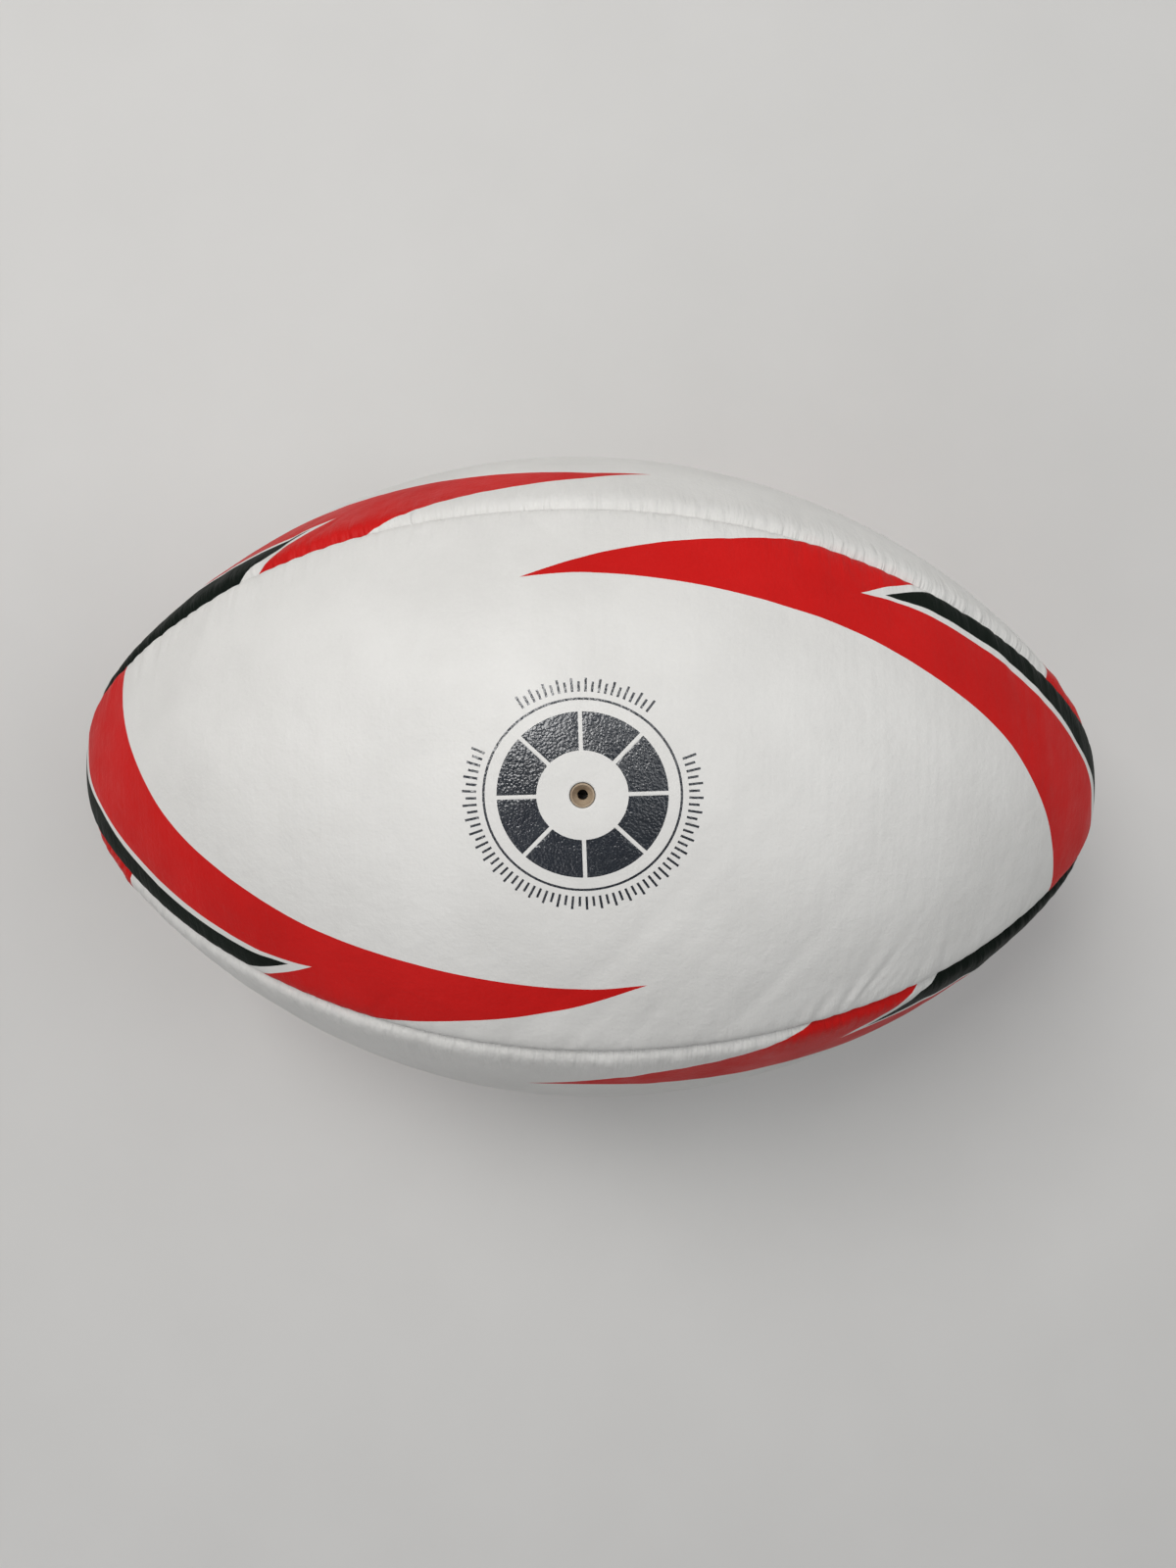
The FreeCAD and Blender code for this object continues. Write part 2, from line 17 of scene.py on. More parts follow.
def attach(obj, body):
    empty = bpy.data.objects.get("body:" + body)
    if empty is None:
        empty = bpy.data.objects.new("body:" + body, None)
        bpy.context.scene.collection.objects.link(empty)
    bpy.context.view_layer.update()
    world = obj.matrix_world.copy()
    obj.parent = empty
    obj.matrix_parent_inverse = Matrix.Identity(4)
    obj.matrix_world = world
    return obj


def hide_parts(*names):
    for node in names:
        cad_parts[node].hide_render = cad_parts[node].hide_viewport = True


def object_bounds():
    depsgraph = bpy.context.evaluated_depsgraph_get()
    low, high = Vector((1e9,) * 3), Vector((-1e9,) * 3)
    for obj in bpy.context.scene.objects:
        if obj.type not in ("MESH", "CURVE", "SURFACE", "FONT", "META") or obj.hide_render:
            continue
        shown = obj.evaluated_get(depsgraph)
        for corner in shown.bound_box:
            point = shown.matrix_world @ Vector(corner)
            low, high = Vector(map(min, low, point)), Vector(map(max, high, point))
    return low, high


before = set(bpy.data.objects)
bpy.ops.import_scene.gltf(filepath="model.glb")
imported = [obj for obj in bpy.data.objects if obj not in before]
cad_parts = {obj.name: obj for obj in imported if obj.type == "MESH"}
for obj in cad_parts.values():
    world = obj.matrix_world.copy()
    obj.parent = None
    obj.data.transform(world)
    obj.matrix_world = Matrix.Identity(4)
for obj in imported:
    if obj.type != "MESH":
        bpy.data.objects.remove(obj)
CAD_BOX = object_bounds()

MM = 0.001
QUARTER = math.pi / 2
PANELS = ("top", "front", "base", "rear")  # quarter turns about +X, from +Z round to -Y, -Z and +Y
SEED = 40  # of the first panel's stitches; each later panel's is one more

# The ball's shape, as the CAD has it.
HALF_LENGTH = 150.0
HALF_WIDTH = 93.0
TIP_RADIUS = 56.0
TIP_DROP = 6.0  # the centre of a tip's arc lies this far past the ball's axis
GORE_OFFSET = 8.0  # and a panel's own turning axis this far
COVER_TURN = math.radians(1.7)  # how far the cover is turned against the valve
TIP_X = HALF_LENGTH - math.sqrt(TIP_RADIUS**2 - TIP_DROP**2)
CROWN_RISE = HALF_WIDTH + TIP_DROP  # over the centre of a tip's arc
CROWN_RADIUS = (TIP_X**2 + CROWN_RISE**2 - TIP_RADIUS**2) / (2 * (CROWN_RISE - TIP_RADIUS))
JOIN_ANGLE = math.atan2(TIP_X, CROWN_RADIUS - HALF_WIDTH - TIP_DROP)
CROWN_LENGTH = CROWN_RADIUS * JOIN_ANGLE
POINT_HOLE = 1.7  # a panel ends this far from the ball's axis
PANEL_REACH = CROWN_LENGTH + TIP_RADIUS * (math.acos((TIP_DROP + POINT_HOLE) / TIP_RADIUS) - JOIN_ANGLE)
VALVE = Vector((0.0, -HALF_WIDTH * COVER_TURN))
VALVE_HOLE = 2.85  # radius of the hole in its panel
RIM_ROUND = 0.45  # radius of the hole's rounded rim
VALVE_SINK = 0.18  # how far the skin sinks beside the hole
VALVE_SINK_REACH = 2.5

# The seams.
CRACK = 0.08  # a panel's edge stands this far from the seam's middle
ROLL_WIDTH = 1.5  # where the skin turns down into the seam
ROLL_DEPTH = 2.0
ROLL_POWER = 1.2
PUFF = 0.55  # how far the stuffed edge of a panel stands out beside the seam
PUFF_PLACE = 4.5
FULL_SEAM = 30.0  # the half width of a panel from which on its seams are at their deepest
THIN_SEAM = 0.2  # the share of that depth which is left at the ball's points
SEAM_SPARE = 4.0  # a seam's length is counted this far past the panel's end
FOLD_DROPS = (1.2, 3.5)  # each row of the folded edge lies this far below the one before it
FOLD_LEAN = 0.3  # how far a fold leans towards the ball's middle, as a share of its drop
HOLE_FOLD = 0.6  # how far the skin goes down into the valve's hole, as a share of a fold's drop

# What the stitches do to the face: the ranges of a groove's depth, reach and width, and of its slant.
STITCH_PITCH = 5.5
STITCH_STRAY = (-0.18, 0.18)  # as a share of the pitch
PULL_START = 1.2  # the stitches' pulls begin this far from the seam, which stays an even line
DIMPLE_SIZES = ((0.15, 0.45), (2.8, 5), (0.9, 1.3))
DIMPLE_SLANTS = (-0.2, 0.3)
CREASE_SIZES = ((0.02, 0.14), (6, 14), (1.0, 1.6))
CREASE_SLANTS = (-0.4, 0.9)
GROOVE_SPREAD = 0.05  # how much a groove widens with each millimetre from the seam
GROOVE_END = 4  # a groove is followed for so many times its reach and its width
LOWER_EDGE_PULL = 0.5  # how strongly the valve panel's lower edge is pulled, against 1 elsewhere

# Faint long wrinkles, and the slow unevenness of a whole panel.
WRINKLES = 60  # beside each edge of a panel
WRINKLE_START = 3.0  # they begin this far from the seam
WRINKLE_DEPTH_ROOTS = (0.3, 0.62)  # the square root of a depth lies between these
WRINKLE_SIZES = ((8, 20), (1.2, 3.0), (-0.3, 1.0))  # reach, width and slant
SWELL_DEPTH = 0.22
SWELL_LENGTHS = (23, 19)  # along and across, to the radian
SWELL_PHASES = (0, 6)

# The wrinkles of the valve panel's lower half that stand out one by one. Each runs from a place along the
# seam, at a slant, and is given as: place, distance at which it begins, depth, reach, width, slant. A ridge
# has a depth below zero.
BOLD_WRINKLES = [
    (67, 9, 1.60, 7.5, 1.0, 0.84),
    (66, 9, -0.90, 7.5, 1.0, 0.66),
    (65.3, 10, 1.40, 8, 1.0, 0.46),
    (62.5, 11, -0.60, 8, 1.1, 0.38),
    (70, 6, 0.55, 7, 0.9, 0.95),
    (76, 7, 0.70, 7, 1.0, 0.80),
    (58, 8, 0.60, 8, 1.0, 0.50),
    (67, 4, 0.40, 9, 1.0, 0.14),
    (73, 3, 0.45, 5, 1.0, 0.16),
    (60.7, 3, 0.50, 9, 1.1, 0.12),
    (79, 6, -0.35, 9, 1.3, 0.60),
    (83, 6, 0.45, 9, 1.2, 0.50),
    (89, 4, 0.40, 10, 1.3, 0.30),
    (94, 4, -0.26, 10, 1.4, 0.20),
    (100, 3, 0.40, 9, 1.3, 0.0),
    (53, 4, 0.32, 12, 1.4, 0.45),
    (38, 5, -0.20, 14, 2.0, 0.7),
    (10.2, 18, 0.60, 13, 1.5, 0.47),
    (5.5, 18, 0.55, 13, 1.5, 0.85),
    (-22, 30, 0.80, 30, 2.4, 0.94),
    (-8, 28, 0.60, 26, 2.2, 0.9),
    (30, 20, 0.60, 20, 2.0, 0.9),
    (22, 22, -0.40, 22, 2.2, 0.8),
    (-46, 4, 0.12, 18, 2.2, 0.2),
    (-78, 4, 0.10, 14, 2.0, -0.3),
]

# The panels' mesh.
GRID = 1.0  # spacing of its even part
GRID_GAP = 0.6  # between that part and the rows beside the seams, as a share of its spacing
EDGE_STEP = 0.75  # spacing along the rows beside the seams
EDGE_ROWS = [0.16, 0.3, 0.5, 0.8, 1.2, 1.7, 2.3, 3.0, 3.8, 4.7, 5.7]
ROW_END = 0.3  # a row ends where it comes this near to the panel's midline
RIM_ROWS = [2.92, 3.02, 3.15, 3.35, 3.7, 4.3, 5.2, 6.4, 8.0]
RIM_POINTS = 72
PRINT_CLEARANCE = 0.35  # the mesh's own points keep this far from the print's edges
MERGE_DISTANCE = 1e-4
EVERY_TRIANGLE = 0  # what the mesher is asked for


# --- the panel's shape ----------------------------------------------------------------------------


def section(u):
    """The panel's midline at u: distance along the ball, radius about the panel's turning axis, and slope."""
    along = np.abs(u)
    on_crown = along < CROWN_LENGTH
    angle = np.where(on_crown, along / CROWN_RADIUS, JOIN_ANGLE + (along - CROWN_LENGTH) / TIP_RADIUS)
    crown_x = CROWN_RADIUS * np.sin(angle)
    crown_z = HALF_WIDTH - CROWN_RADIUS + CROWN_RADIUS * np.cos(angle)
    tip_x = TIP_X + TIP_RADIUS * np.sin(angle)
    tip_z = -TIP_DROP + TIP_RADIUS * np.cos(angle)
    x = np.where(on_crown, crown_x, tip_x) * np.sign(u)
    radius = np.where(on_crown, crown_z, tip_z) + GORE_OFFSET
    return x, radius, angle * np.sign(u)


def seam_reach(u):
    """Distance across the flat panel from its midline to its seam."""
    _, radius, _ = section(u)
    return radius * (QUARTER / 2 - np.arcsin(GORE_OFFSET * math.sin(QUARTER / 2) / radius))


def seam_slope(u):
    """How fast the panel's half width changes along it."""
    step = 0.05
    return (seam_reach(u + step) - seam_reach(u - step)) / (2 * step)


def seam_distances(u, v):
    """Distance from a flat point to the panel's upper and lower seams."""
    reach = seam_reach(u)
    stretch = np.sqrt(1 + seam_slope(u) ** 2)
    return (reach - v) / stretch, (reach + v) / stretch


def seam_places(u):
    """Distance along the seam from its middle, for each u."""
    end = PANEL_REACH + SEAM_SPARE
    table = np.linspace(-end, end, num=800)
    lengths = np.concatenate([[0], np.cumsum(np.hypot(np.diff(table), np.diff(seam_reach(table))))])
    return np.interp(u, table, lengths - lengths[-1] / 2)


def on_ball(u, v, depth):
    """Lay flat points on the ball, sunk by a depth, as an array of positions on the panel that faces +Z."""
    x, radius, slope = section(u)
    y = radius * np.sin(v / radius)
    z = radius * np.cos(v / radius) - GORE_OFFSET
    shrink = 1 - depth * np.cos(slope) / np.maximum(np.hypot(y, z), 1.0)
    return np.stack([x - depth * np.sin(slope), y * shrink, z * shrink], axis=1)


# --- materials ------------------------------------------------------------------------------------


NOISE_RANGE = (0.3, 0.7)  # noise seldom leaves this
MIX_INPUTS = (0, 6, 7)  # a Mix node's factor and its two colours
MIX_OUTPUT = 2


class Nodes:
    """A node tree and short ways to add to it."""

    def __init__(self, tree):
        self.tree = tree

    def add(self, kind, values=None, **settings):
        """A node with its settings and its inputs."""
        node = self.tree.nodes.new(kind)
        for key, value in settings.items():
            setattr(node, key, value)
        for key, value in (values or {}).items():
            self.feed(node.inputs[key], value)
        return node

    def feed(self, socket, value):
        """Link a socket to another node's output, or set its value."""
        if isinstance(value, bpy.types.NodeSocket):
            self.tree.links.new(value, socket)
        else:
            socket.default_value = value

    def math(self, operation, first, second):
        """The output of a Math node."""
        return self.add("ShaderNodeMath", {0: first, 1: second}, operation=operation).outputs[0]

    def mapped(self, value, low_high, to_low_high=(0.0, 1.0)):
        """A value carried from one range to another."""
        labels = ("From Min", "From Max", "To Min", "To Max")
        values = dict(zip(labels, (*low_high, *to_low_high)), Value=value)
        return self.add("ShaderNodeMapRange", values).outputs["Result"]

    def mix(self, factor, first, second):
        """A mix of two colours."""
        values = dict(zip(MIX_INPUTS, (factor, first, second)))
        return self.add("ShaderNodeMix", values, data_type="RGBA").outputs[MIX_OUTPUT]

    def noise(self, place, scale, detail, roughness=0.5):
        """Noise, with its scale in grains per millimetre where place is in millimetres."""
        values = {"Vector": place, "Scale": scale, "Detail": detail, "Roughness": roughness}
        return self.add("ShaderNodeTexNoise", values).outputs["Fac"]

    def waves(self, place, scale, distortion, detail, direction):
        """Bands across a direction."""
        values = {"Vector": place, "Scale": scale, "Distortion": distortion, "Detail": detail}
        return self.add("ShaderNodeTexWave", values, bands_direction=direction).outputs["Fac"]

    def bump(self, height, distance, strength=1.0, under=None):
        """A bump of so many metres, on top of another one."""
        values = {"Height": height, "Distance": distance, "Strength": strength}
        if under:
            values["Normal"] = under
        return self.add("ShaderNodeBump", values).outputs["Normal"]

    def attribute(self, name, output="Vector"):
        """What the mesh's points hold under a name."""
        return self.add("ShaderNodeAttribute", attribute_name=name).outputs[output]

    def scaled(self, place, scales):
        """A place stretched or squeezed along each axis."""
        return self.add("ShaderNodeMapping", {"Vector": place, "Scale": scales}).outputs[0]

    def place_mm(self):
        """The object's own coordinates in millimetres."""
        coordinates = self.add("ShaderNodeTexCoord").outputs["Object"]
        values = {0: coordinates, "Scale": 1 / MM}
        return self.add("ShaderNodeVectorMath", values, operation="SCALE").outputs[0]


class Surface(Nodes):
    """A material's nodes, with the shader that ends them."""

    def __init__(self, name):
        self.material = bpy.data.materials.new(name)
        self.material.use_nodes = True
        super().__init__(self.material.node_tree)

    def finished(self, values):
        """The material, once its shader's inputs are linked or set."""
        shader = self.tree.nodes["Principled BSDF"]
        for key, value in values.items():
            self.feed(shader.inputs[key], value)
        return self.material


PUCKER_SCALES = (0.42, 0.07, 1.0)  # grains per millimetre along the seam and away from it
PUCKER_REACH = (0.0, 20.0)
PUCKER_FADE = 2.5
UPPER_TO_LOWER = 40.0  # keeps the two edges' noise apart
SEAM_SHADE_EDGE = (0.05, 0.5)  # distances from the seam between which the painted shade in it fades
SEAM_SHADE_SHARE = 0.5  # how much of the colour in the seam is painted shade
SEAM_SHADE_TONE = 0.3  # the painted shade is so much of the skin's darker colour
PATCH_SHARE = 0.75  # broad patches in the colour, against fine specks
PATCH_RANGE = (0.35, 0.65)
WEAVE_SCALES = (0.33, 0.02, 1.0)  # grains per millimetre along the panel and across it


def seam_puckers(nodes):
    """Fine wrinkles running in from both seams, and how much of the skin beside them is left free of painted
    shade.
    """
    along, *distances = nodes.add("ShaderNodeSeparateXYZ", {0: nodes.attribute("seam")}).outputs
    heights = []
    for side, distance in enumerate(distances):
        values = {0: along, 1: distance, 2: UPPER_TO_LOWER * side}
        place = nodes.add("ShaderNodeCombineXYZ", values).outputs[0]
        ripples = nodes.noise(nodes.scaled(place, PUCKER_SCALES), scale=1.0, detail=3)
        fade = nodes.mapped(distance, PUCKER_REACH, (1.0, 0.0))
        heights.append(nodes.math("MULTIPLY", ripples, nodes.math("POWER", fade, PUCKER_FADE)))
    puckers = nodes.math("MULTIPLY", nodes.math("ADD", *heights), nodes.attribute("pull", "Fac"))
    # painted shade: the colour darkens towards the seam's crease
    unshaded_share = nodes.mapped(nodes.math("MINIMUM", *distances), SEAM_SHADE_EDGE, (1 - SEAM_SHADE_SHARE, 1.0))
    return puckers, unshaded_share


def skin_material(name, light, dark, roughness, grain, specular, pebbles_per_mm=1.5):
    """Printed synthetic leather: pebble grain over the cloth's faint weave, a little wear in its roughness,
    and painted shade darkening it in the seams.
    """
    nodes = Surface(name)
    place = nodes.place_mm()
    patches = nodes.noise(place, scale=0.045, detail=3)
    specks = nodes.noise(place, scale=1.4, detail=3, roughness=0.6)
    cell_values = {"Vector": place, "Scale": pebbles_per_mm, "Randomness": 1.0}
    cells = nodes.add("ShaderNodeTexVoronoi", cell_values, feature="SMOOTH_F1").outputs["Distance"]
    pebbles = nodes.mapped(cells, (0.0, 0.75), (1.0, 0.0))
    weave = nodes.noise(nodes.scaled(nodes.attribute("pattern"), WEAVE_SCALES), scale=1.0, detail=2)
    mottle = nodes.noise(place, scale=0.2, detail=4, roughness=0.6)
    puckers, unshaded_share = seam_puckers(nodes)

    patch_tone = nodes.math("MULTIPLY", patches, PATCH_SHARE)
    tone = nodes.math("ADD", patch_tone, nodes.math("MULTIPLY", specks, 1 - PATCH_SHARE))
    colour = nodes.mix(nodes.mapped(tone, PATCH_RANGE), dark, light)
    # painted shade in the seam crease: a darker copy of the skin's colour
    seam_shade_colour = (*(value * SEAM_SHADE_TONE for value in dark[:3]), 1)
    scuffs = nodes.noise(place, scale=0.12, detail=5)

    normal = nodes.bump(puckers, distance=0.0014)
    normal = nodes.bump(mottle, distance=0.00028, under=normal)
    normal = nodes.bump(weave, distance=0.0003, strength=0.4, under=normal)
    for height in (pebbles, specks):
        normal = nodes.bump(height, distance=grain * MM, under=normal)
    return nodes.finished({
        # the base colour carries painted shade in the seams
        "Base Color": nodes.mix(unshaded_share, seam_shade_colour, colour),
        "Roughness": nodes.mapped(scuffs, NOISE_RANGE, (roughness - 0.05, roughness + 0.07)),
        "Normal": normal,
        "Specular IOR Level": specular,
    })


def cloth_material(name, warp, weft, threads_per_mm):
    """Plain-woven cloth."""
    nodes = Surface(name)
    place = nodes.place_mm()
    yarns = [
        nodes.waves(place, threads_per_mm, distortion=0.6, detail=1.0, direction=axis) for axis in ("X", "Y")
    ]
    return nodes.finished({
        "Base Color": nodes.mix(nodes.math("GREATER_THAN", *yarns), warp, weft),
        "Normal": nodes.bump(nodes.math("MAXIMUM", *yarns), distance=0.0002, strength=0.6),
        "Roughness": 0.85,
        "Sheen Weight": 0.2,
    })


def rubber_material(name, light, dark, roughness):
    """Moulded rubber with mottled colour and a fine matt skin."""
    nodes = Surface(name)
    place = nodes.place_mm()
    mottle = nodes.noise(place, scale=0.35, detail=6, roughness=0.6)
    wear = nodes.noise(place, scale=0.9, detail=3)
    pores = nodes.noise(place, scale=3.0, detail=4)
    return nodes.finished({
        "Base Color": nodes.mix(nodes.mapped(mottle, NOISE_RANGE), dark, light),
        "Normal": nodes.bump(pores, distance=0.0001, strength=0.4),
        "Roughness": nodes.mapped(wear, NOISE_RANGE, (roughness - 0.08, roughness + 0.08)),
    })


def thread_material():
    """Waxed thread: twisted fibres under a slight shine."""
    nodes = Surface("waxed_thread")
    twist = nodes.waves(nodes.place_mm(), scale=0.9, distortion=1.2, detail=2.0, direction="DIAGONAL")
    return nodes.finished({
        "Base Color": nodes.mix(twist, (0.55, 0.50, 0.40, 1), (0.74, 0.70, 0.60, 1)),
        "Normal": nodes.bump(twist, distance=0.0001, strength=0.7),
        "Roughness": 0.5,
    })


def floor_material():
    """Plain pale card."""
    nodes = Surface("floor")
    cloud = nodes.noise(nodes.place_mm(), scale=0.02, detail=5)
    return nodes.finished({
        "Base Color": nodes.mix(cloud, (0.62, 0.61, 0.59, 1), (0.66, 0.65, 0.63, 1)),
        "Roughness": 0.8,
    })


WHITE, RED, BLACK, INK, HOLE = range(5)  # a panel's material slots in order, and the hole for the valve
SKIN_MATERIALS = [
    skin_material(
        "skin_white", (0.715, 0.704, 0.677, 1), (0.665, 0.654, 0.628, 1),
        roughness=0.48, grain=0.02, specular=0.28,
    ),
    skin_material(
        "skin_red", (0.58, 0.010, 0.009, 1), (0.51, 0.008, 0.007, 1),
        roughness=0.5, grain=0.025, specular=0.12,
    ),
    skin_material(
        "skin_black", (0.008, 0.012, 0.009, 1), (0.005, 0.008, 0.006, 1),
        roughness=0.55, grain=0.03, specular=0.05,
    ),
    skin_material(
        "ring_ink", (0.009, 0.014, 0.023, 1), (0.004, 0.007, 0.012, 1),
        roughness=0.25, grain=0.11, specular=1.0, pebbles_per_mm=1.9,
    ),
]


# --- the print's outlines, in flat millimetres ----------------------------------------------------


# The red sweep of the right-hand end, and the black stripe above it. What lies past the seam is cut off.
SWEEP_TIP = (-16.2, 49.0)
SWEEP_TOP = [SWEEP_TIP, (0, 55.8), (17, 60.6), (36, 63.7), (49, 65.3), (58, 66.4), (68, 69)]
SWEEP_OUTSIDE = [Vector((60, 75)), Vector((90, 70))]
SWEEP_UNDER = [
    (0, 50.6), (23, 48.8), (47, 44), (70, 36.6), (96, 23.8), (113, 13), (125, 2), (134, -9), (140, -21),
    (143, -36),
]
SWEEP_BELOW = [Vector((176, -45)), Vector((143, -45))]
NOTCH = (67.4, 50.1)
NOTCH_TOP = [NOTCH, (75.6, 53.2), (85, 56.0), (94, 58.5)]
NOTCH_UNDER = [
    NOTCH, (75, 49.1), (85, 46.8), (98.6, 41.4), (113.3, 34.4), (130, 25.1), (141, 18.6), (152.5, 10.4),
    (159.2, 4.8), (162.3, 0.8), (164, -4), (167, -9), (176, -18.5),
]
STRIPE_TIP = (74.6, 50.3)
STRIPE_TOP = [STRIPE_TIP, (80, 52), (87, 53.5), (93, 54.3), (102, 56)]
STRIPE_OUTSIDE = [Vector((120, 62)), Vector((200, 20)), Vector((200, -20))]
STRIPE_UNDER = [
    STRIPE_TIP, (86, 48.2), (92.3, 46), (99, 43.3), (114, 36.3), (130, 27.3), (141.3, 20.5), (152, 12.5),
    (160.5, 6.6), (165.5, 2.5), (168, -2), (171.5, -8), (179, -15),
]

# How a panel's print is out: turned about the panel's middle, moved along it and across it, and its sweep
# narrowed.
PRINT_FAULTS = {"front": (-0.045, 0.9, 2.0, 1.5), "rear": (-0.045, -0.8, 2.6, 1.0)}
NO_FAULT = (0.0, 0.0, 0.0, 0.0)

# The ring round the valve.
RING_TURN = math.radians(3.3)
RING_STRETCH = 1.027  # the ring is this much longer along the ball than across it
RING_PARTS = 8
RING_RADII = (18.7, 10.0)
RING_STEPS = (12, 8)  # along the outer and the inner side of one of its parts
SPOKE_WIDTH = 0.9
HOOP_RADIUS = 21.6
HOOP_WIDTH = 0.55
HOOP_STEPS = (48, 48)  # along the two sides of a half hoop
TICK_RADIUS = 23.2
TICK_LENGTHS = (3.2, 2.4)
TICK_WIDTH = 0.55
TICK_ARCS = ((55, 125, 20), (158, 382, 62))  # first and last angle, and how many ticks follow the first


def smooth_line(points, step=1.5):
    """A smooth line through a few points: a Catmull-Rom curve with its ends repeated."""
    knots = [Vector(point) for point in [points[0], *points, points[-1]]]
    line = []
    for before, start, end, after in zip(knots, knots[1:], knots[2:], knots[3:]):
        count = max(2, round((end - start).length / step))
        for index in range(count):
            t = index / count
            bend = (end - before) * t + (2 * before - 5 * start + 4 * end - after) * t**2
            line.append(start + (bend + (3 * start - before - 3 * end + after) * t**3) / 2)
    return line + [knots[-1]]


def arc_line(radius, steps, start, end):
    """Points along an arc about the valve, with both its ends."""
    angles = [start + (end - start) * index / steps for index in range(steps + 1)]
    return [VALVE + Vector((math.cos(angle), math.sin(angle))) * radius for angle in angles]


def circle_line(radius):
    """Points round a circle about the valve."""
    return arc_line(radius, RIM_POINTS, 0.0, 2 * math.pi)[:-1]


def sweep_outline(narrowed):
    """The red sweep as one closed loop, made narrower from below."""
    top = smooth_line(SWEEP_TOP)
    arm = smooth_line(NOTCH_TOP)[::-1]
    end = smooth_line(NOTCH_UNDER)
    under = smooth_line([SWEEP_TIP] + [(u, v + narrowed) for u, v in SWEEP_UNDER])[::-1]
    return top + SWEEP_OUTSIDE + arm + end[1:] + SWEEP_BELOW + under[:-1]


def stripe_outline():
    """The black stripe as one closed loop, over the ball's point."""
    under = smooth_line(STRIPE_UNDER)[::-1]
    return smooth_line(STRIPE_TOP) + STRIPE_OUTSIDE + under[:-1]


def moved(outline, turn, along, across):
    """An outline turned about the panel's middle and moved."""
    return [Matrix.Rotation(turn, 2) @ point + Vector((along, across)) for point in outline]


def half_turned(outline):
    """The same outline at the panel's other end."""
    return [-point for point in outline]


def anticlockwise(outline):
    """The outline, turned the way the mesher takes its inside to be."""
    area = sum(start.cross(end) for start, end in zip(outline, outline[1:] + outline[:1]))
    return outline if area > 0 else outline[::-1]


def band_outline(radii, steps, start, end, gap=0.0):
    """A stretch of a band about the valve, with its ends held back by a gap."""
    sides = []
    for radius, count in zip(radii, steps):
        sides.append(arc_line(radius, count, start + gap / radius, end - gap / radius))
    return sides[0] + sides[1][::-1]


def ring_outlines():
    """The dark segments printed round the valve, parted by narrow spokes."""
    part = 2 * math.pi / RING_PARTS
    starts = [RING_TURN + index * part for index in range(RING_PARTS)]
    return [band_outline(RING_RADII, RING_STEPS, start, start + part, SPOKE_WIDTH / 2) for start in starts]


def hoop_outlines():
    """The thin circle round the ring, as two half hoops."""
    radii = (HOOP_RADIUS + HOOP_WIDTH / 2, HOOP_RADIUS - HOOP_WIDTH / 2)
    return [band_outline(radii, HOOP_STEPS, start, start + math.pi) for start in (0.0, math.pi)]


def tick_outlines():
    """Plain radial ticks in two arcs outside the hoop."""
    outlines = []
    for first, last, count in TICK_ARCS:
        for index in range(count + 1):
            angle = math.radians(first + (last - first) * index / count)
            along = Vector((math.cos(angle), math.sin(angle)))
            across = Vector((-along.y, along.x)) * TICK_WIDTH / 2
            inner = VALVE + along * TICK_RADIUS
            outer = inner + along * TICK_LENGTHS[index % len(TICK_LENGTHS)]
            outlines.append([inner - across, outer - across, outer + across, inner + across])
    return outlines


def lengthened(outline):
    """A ring's outline, stretched along the ball."""
    return [Vector((VALVE.x + (point.x - VALVE.x) * RING_STRETCH, point.y)) for point in outline]


# --- cutting and meshing a flat panel -------------------------------------------------------------


def evenly_along():
    """Places along the panel, close enough for its edges."""
    return np.linspace(-PANEL_REACH, PANEL_REACH, round(2 * PANEL_REACH / EDGE_STEP))


def panel_outline():
    """The flat panel's edge, just inside its two seams."""
    u = evenly_along()
    reach = seam_reach(u) - CRACK
    top = [Vector(point) for point in zip(u, reach)]
    base = [Vector(point) for point in zip(u, -reach)]
    return top + base[::-1]


def row_points():
    """Points in rows beside the two seams."""
    u = evenly_along()
    slope = seam_slope(u)
    stretch = np.sqrt(1 + slope**2)
    points = []
    for inset in EDGE_ROWS:
        shifted = u + slope / stretch * inset
        height = seam_reach(u) - inset / stretch
        inside = (height > ROW_END) & (np.abs(shifted) < PANEL_REACH)
        points += [(a, b * side) for a, b in zip(shifted[inside], height[inside]) for side in (1, -1)]
    return points


def grid_points():
    """Points in an even triangular grid between the rows."""
    columns = np.arange(-PANEL_REACH, PANEL_REACH, GRID * math.sqrt(3) / 2)
    reaches = seam_reach(columns)
    slants = np.sqrt(1 + seam_slope(columns) ** 2)
    last_row = EDGE_ROWS[-1] + GRID * GRID_GAP
    points = []
    for index, (column, reach, slant) in enumerate(zip(columns, reaches, slants)):
        rows = np.arange(-reach + (index % 2) * GRID / 2, reach, GRID)
        points += [(column, row) for row in rows if (reach - abs(row)) / slant > last_row]
    return points


def fill_points(keep_clear, valve):
    """Points inside the flat panel, clear of its print's outlines and in circles round the valve."""
    points = row_points() + grid_points()
    if valve:
        around = RIM_ROWS[-1] + GRID / 2
        points = [(u, v) for u, v in points if math.hypot(u - VALVE.x, v - VALVE.y) > around]
        points += [tuple(point) for radius in RIM_ROWS for point in circle_line(radius)]
    tree = kdtree.KDTree(len(keep_clear))
    for index, point in enumerate(keep_clear):
        tree.insert((*point, 0), index)
    tree.balance()
    return [Vector(point) for point in points if tree.find((*point, 0))[2] > PRINT_CLEARANCE]


